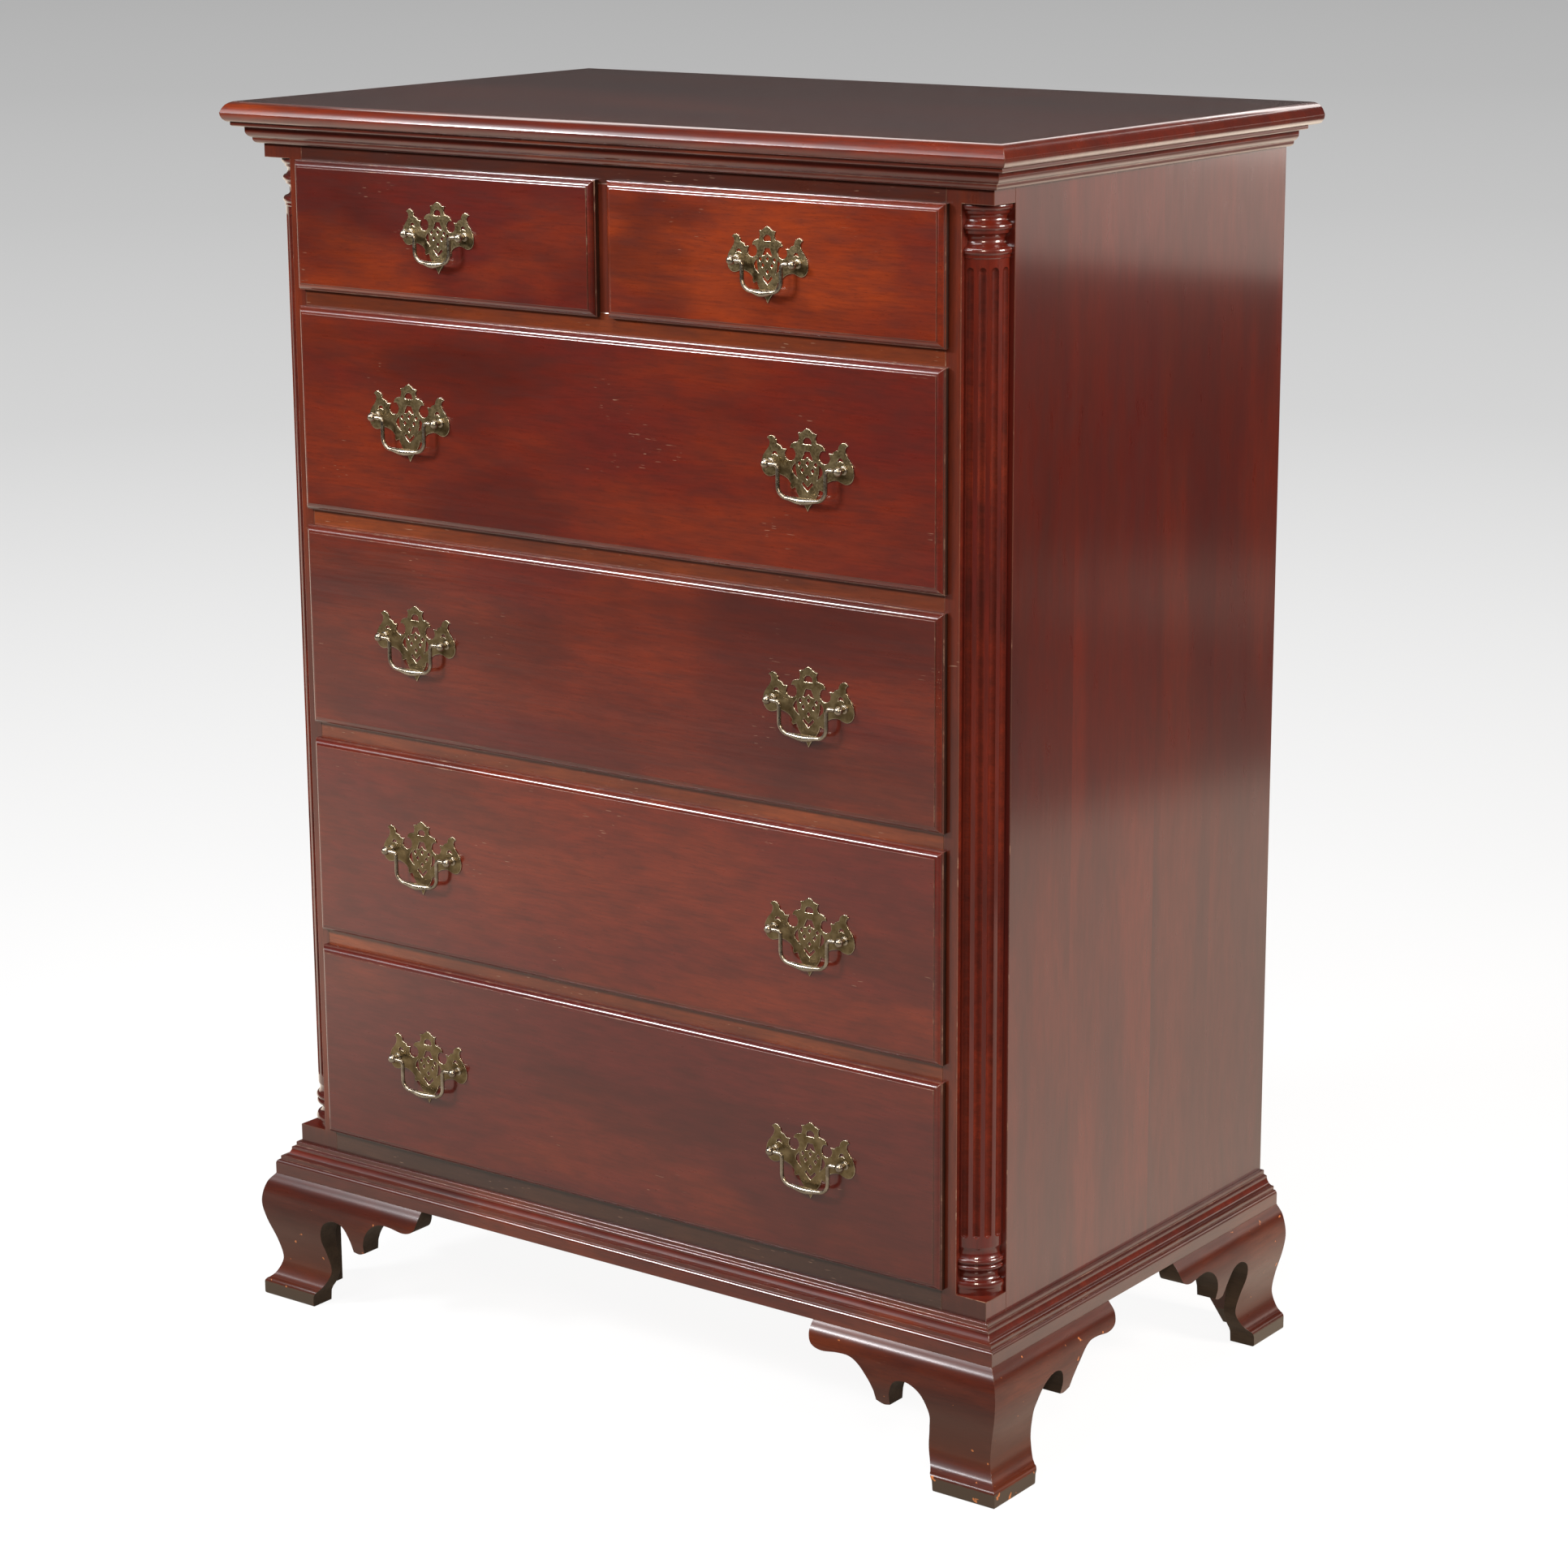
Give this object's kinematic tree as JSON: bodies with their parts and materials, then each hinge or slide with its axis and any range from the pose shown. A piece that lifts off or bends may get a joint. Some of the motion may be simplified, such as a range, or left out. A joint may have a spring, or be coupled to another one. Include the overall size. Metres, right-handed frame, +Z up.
{
  "type": "chest of drawers",
  "caption": "Tall chest of drawers with fluted quarter columns, lipped drawers, ogee bracket feet and pierced brass bail pulls.",
  "frame": {"origin": "on the floor, under the middle of the whole chest's width and depth", "axes": "+Z up, -Y towards the front, where the drawers open; +X to the right for someone facing the front"},
  "size_m": [1.0146, 0.6138, 1.3695],
  "materials": {
    "top_wood": "satin lacquer over a red-brown mahogany stain",
    "moulding_wood": "satin lacquer over a red-brown mahogany stain",
    "side_wood": "satin lacquer over a red-brown mahogany stain",
    "frame_wood": "satin lacquer over a red-brown mahogany stain",
    "foot_wood": "satin lacquer over a red-brown mahogany stain, worn at the pads",
    "drawer_wood": "satin lacquer over a red-brown mahogany stain",
    "inside_wood": "bare planed secondary wood",
    "brass": "antique, tarnished in the recesses and rubbed on the edges"
  },
  "bodies": {
    "case": {"top_panel": "top_wood", "cornice_mouldings": "moulding_wood", "side_panel_left": "side_wood", "side_panel_right": "side_wood", "corner_post_left": "frame_wood", "corner_post_right": "frame_wood", "quarter_column_left": "frame_wood", "quarter_column_right": "frame_wood", "top_rail": "frame_wood", "drawer_rails": "frame_wood", "bottom_rail": "frame_wood", "top_mullion": "frame_wood", "drawer_runners": "inside_wood", "back_panel": "inside_wood", "bottom_board": "inside_wood", "base_mouldings": "moulding_wood", "foot_front_left": "foot_wood", "foot_front_right": "foot_wood", "foot_rear_left": "foot_wood", "foot_rear_right": "foot_wood"},
    "bottom_drawer": {"bottom_drawer_front": "drawer_wood", "bottom_drawer_box": "inside_wood", "bottom_drawer_bottom": "inside_wood", "bottom_drawer_pull_plates": "brass", "bottom_drawer_pull_posts": "brass"},
    "bottom_drawer_left_bail": {"bottom_drawer_left_bail": "brass"},
    "bottom_drawer_right_bail": {"bottom_drawer_right_bail": "brass"},
    "third_drawer": {"third_drawer_front": "drawer_wood", "third_drawer_box": "inside_wood", "third_drawer_bottom": "inside_wood", "third_drawer_pull_plates": "brass", "third_drawer_pull_posts": "brass"},
    "third_drawer_left_bail": {"third_drawer_left_bail": "brass"},
    "third_drawer_right_bail": {"third_drawer_right_bail": "brass"},
    "second_drawer": {"second_drawer_front": "drawer_wood", "second_drawer_box": "inside_wood", "second_drawer_bottom": "inside_wood", "second_drawer_pull_plates": "brass", "second_drawer_pull_posts": "brass"},
    "second_drawer_left_bail": {"second_drawer_left_bail": "brass"},
    "second_drawer_right_bail": {"second_drawer_right_bail": "brass"},
    "upper_drawer": {"upper_drawer_front": "drawer_wood", "upper_drawer_box": "inside_wood", "upper_drawer_bottom": "inside_wood", "upper_drawer_pull_plates": "brass", "upper_drawer_pull_posts": "brass"},
    "upper_drawer_left_bail": {"upper_drawer_left_bail": "brass"},
    "upper_drawer_right_bail": {"upper_drawer_right_bail": "brass"},
    "top_left_drawer": {"top_left_drawer_front": "drawer_wood", "top_left_drawer_box": "inside_wood", "top_left_drawer_bottom": "inside_wood", "top_left_drawer_pull_plates": "brass", "top_left_drawer_pull_posts": "brass"},
    "top_left_drawer_bail": {"top_left_drawer_bail": "brass"},
    "top_right_drawer": {"top_right_drawer_front": "drawer_wood", "top_right_drawer_box": "inside_wood", "top_right_drawer_bottom": "inside_wood", "top_right_drawer_pull_plates": "brass", "top_right_drawer_pull_posts": "brass"},
    "top_right_drawer_bail": {"top_right_drawer_bail": "brass"}
  },
  "joints": [
    {"name": "bottom_drawer_slide", "type": "slide", "parent": "case", "child": "bottom_drawer", "axis": [0, -1, 0], "range_m": [0, 0.34]},
    {"name": "bottom_drawer_left_bail_swing", "type": "hinge", "parent": "bottom_drawer", "child": "bottom_drawer_left_bail", "pos_m": [-0.2625, -0.2951, 0.32125], "axis": [-1, 0, 0], "range_deg": [0, 100]},
    {"name": "bottom_drawer_right_bail_swing", "type": "hinge", "parent": "bottom_drawer", "child": "bottom_drawer_right_bail", "pos_m": [0.2625, -0.2951, 0.32125], "axis": [-1, 0, 0], "range_deg": [0, 100]},
    {"name": "third_drawer_slide", "type": "slide", "parent": "case", "child": "third_drawer", "axis": [0, -1, 0], "range_m": [0, 0.34]},
    {"name": "third_drawer_left_bail_swing", "type": "hinge", "parent": "third_drawer", "child": "third_drawer_left_bail", "pos_m": [-0.2625, -0.2951, 0.56175], "axis": [-1, 0, 0], "range_deg": [0, 100]},
    {"name": "third_drawer_right_bail_swing", "type": "hinge", "parent": "third_drawer", "child": "third_drawer_right_bail", "pos_m": [0.2625, -0.2951, 0.56175], "axis": [-1, 0, 0], "range_deg": [0, 100]},
    {"name": "second_drawer_slide", "type": "slide", "parent": "case", "child": "second_drawer", "axis": [0, -1, 0], "range_m": [0, 0.34]},
    {"name": "second_drawer_left_bail_swing", "type": "hinge", "parent": "second_drawer", "child": "second_drawer_left_bail", "pos_m": [-0.2625, -0.2951, 0.80225], "axis": [-1, 0, 0], "range_deg": [0, 100]},
    {"name": "second_drawer_right_bail_swing", "type": "hinge", "parent": "second_drawer", "child": "second_drawer_right_bail", "pos_m": [0.2625, -0.2951, 0.80225], "axis": [-1, 0, 0], "range_deg": [0, 100]},
    {"name": "upper_drawer_slide", "type": "slide", "parent": "case", "child": "upper_drawer", "axis": [0, -1, 0], "range_m": [0, 0.34]},
    {"name": "upper_drawer_left_bail_swing", "type": "hinge", "parent": "upper_drawer", "child": "upper_drawer_left_bail", "pos_m": [-0.2625, -0.2951, 1.04275], "axis": [-1, 0, 0], "range_deg": [0, 100]},
    {"name": "upper_drawer_right_bail_swing", "type": "hinge", "parent": "upper_drawer", "child": "upper_drawer_right_bail", "pos_m": [0.2625, -0.2951, 1.04275], "axis": [-1, 0, 0], "range_deg": [0, 100]},
    {"name": "top_left_drawer_slide", "type": "slide", "parent": "case", "child": "top_left_drawer", "axis": [0, -1, 0], "range_m": [0, 0.34]},
    {"name": "top_left_drawer_bail_swing", "type": "hinge", "parent": "top_left_drawer", "child": "top_left_drawer_bail", "pos_m": [-0.21488, -0.2951, 1.2415], "axis": [-1, 0, 0], "range_deg": [0, 100]},
    {"name": "top_right_drawer_slide", "type": "slide", "parent": "case", "child": "top_right_drawer", "axis": [0, -1, 0], "range_m": [0, 0.34]},
    {"name": "top_right_drawer_bail_swing", "type": "hinge", "parent": "top_right_drawer", "child": "top_right_drawer_bail", "pos_m": [0.21488, -0.2951, 1.2415], "axis": [-1, 0, 0], "range_deg": [0, 100]}
  ]
}
